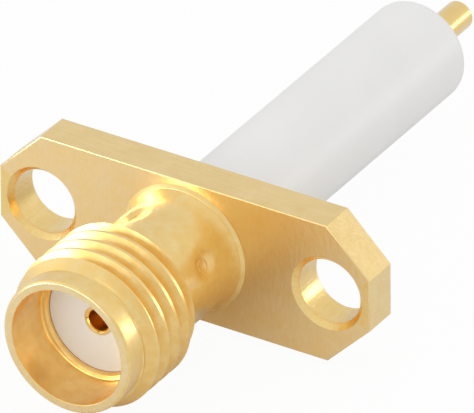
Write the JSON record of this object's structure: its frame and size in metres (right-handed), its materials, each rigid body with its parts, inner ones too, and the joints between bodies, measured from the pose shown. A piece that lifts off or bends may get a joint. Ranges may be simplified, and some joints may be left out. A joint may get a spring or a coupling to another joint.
{
  "type": "panel coaxial connector",
  "caption": "Threaded coaxial jack on a flat screw-down flange, with an insulated tail that reaches through a panel to a solder pin.",
  "frame": {"origin": "centre of the flange's rear face, which lies on the panel, midway between the two screw holes", "axes": "+Y along the connector's axis from the mating end to the rear pin; +X along the flange's long side through both screw holes; +Z across the flange's short side"},
  "size_m": [0.0158, 0.0276, 0.0062],
  "materials": {
    "gold_plate": "bright gold plate over turned and milled brass",
    "ptfe": "waxy white PTFE, turned",
    "contact_gold": "gold plate over beryllium copper"
  },
  "bodies": {
    "root": {"body": "gold_plate", "dielectric": "ptfe", "centre_contact": "contact_gold"}
  },
  "joints": []
}
